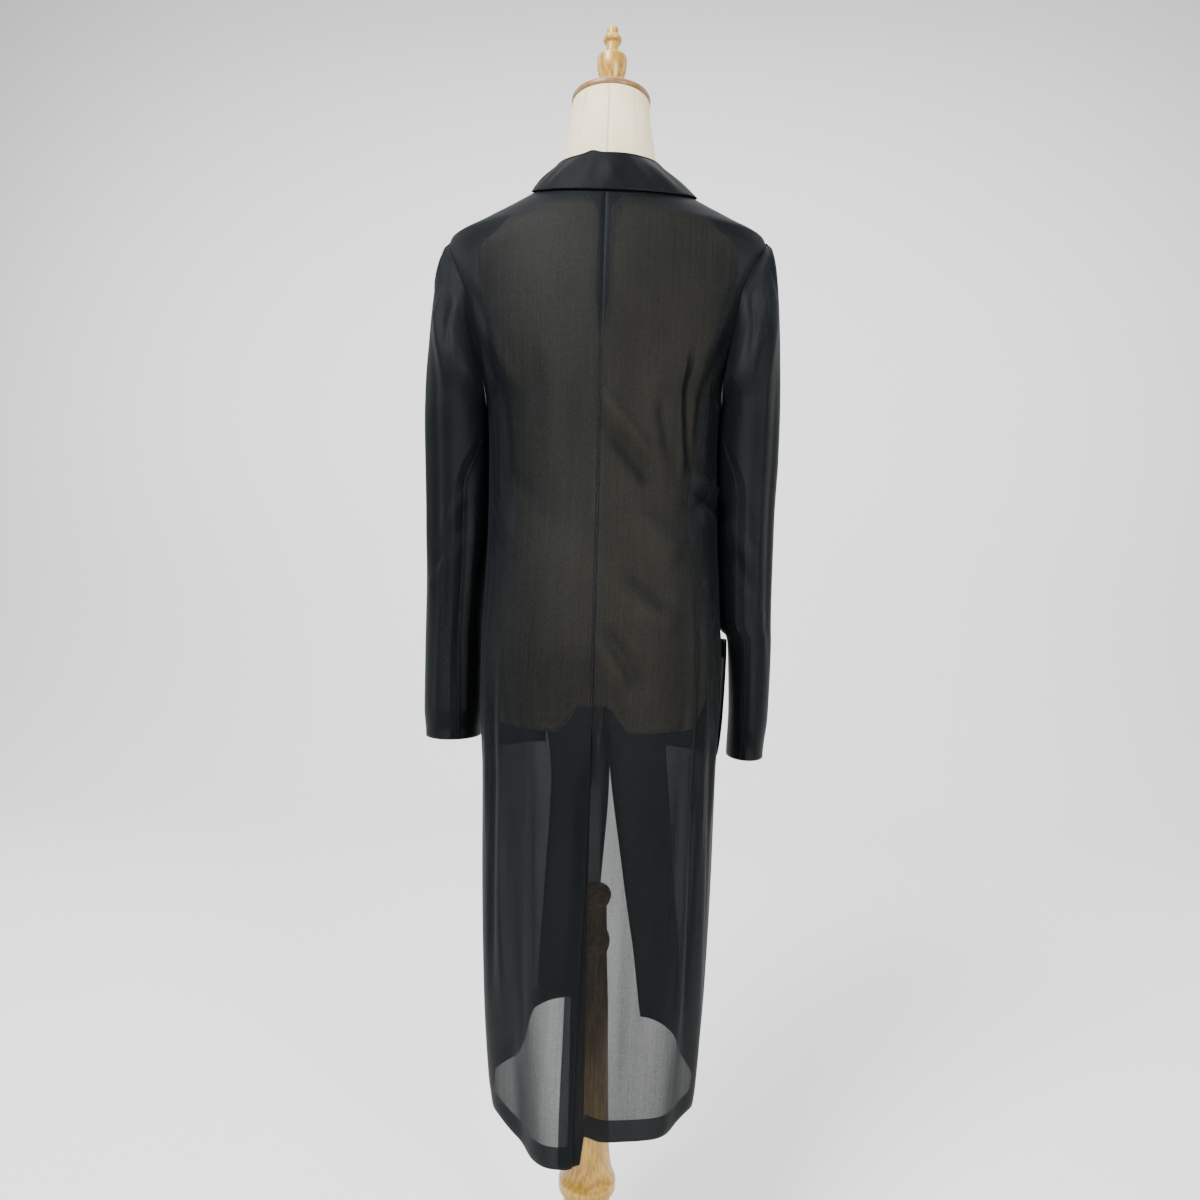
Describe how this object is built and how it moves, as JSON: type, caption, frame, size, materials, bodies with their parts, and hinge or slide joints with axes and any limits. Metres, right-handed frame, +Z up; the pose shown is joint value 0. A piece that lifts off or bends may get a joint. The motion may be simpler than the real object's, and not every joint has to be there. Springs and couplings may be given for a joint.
{
  "type": "sheer long coat on dress form",
  "caption": "Sheer black ankle-skimming long coat with notched collar, back vent and patch pockets, hanging open on a limbless linen dress form with turned wood post.",
  "frame": {"origin": "centre of the base's underside, on the floor", "axes": "+Z up; the coat's front faces +Y and its back -Y; +X is the wearer's right"},
  "size_m": [0.4666, 0.35, 1.703],
  "materials": {
    "sheer_cloth": "sheer black plain-weave cloth, soft dull sheen",
    "linen": "cream linen over padding",
    "turned_wood": "varnished honey-brown turned wood",
    "steel_pole": "bright drawn steel"
  },
  "bodies": {
    "root": {"back_left": "sheer_cloth", "front_left": "sheer_cloth", "facing_left": "sheer_cloth", "lapel_left": "sheer_cloth", "pocket_left": "sheer_cloth", "top_sleeve_left": "sheer_cloth", "under_sleeve_left": "sheer_cloth", "back_right": "sheer_cloth", "front_right": "sheer_cloth", "facing_right": "sheer_cloth", "lapel_right": "sheer_cloth", "pocket_right": "sheer_cloth", "top_sleeve_right": "sheer_cloth", "under_sleeve_right": "sheer_cloth", "collar": "sheer_cloth", "form_body": "linen", "neck_cap": "turned_wood", "finial": "turned_wood", "post": "turned_wood", "base": "turned_wood", "pole": "steel_pole"}
  },
  "joints": []
}
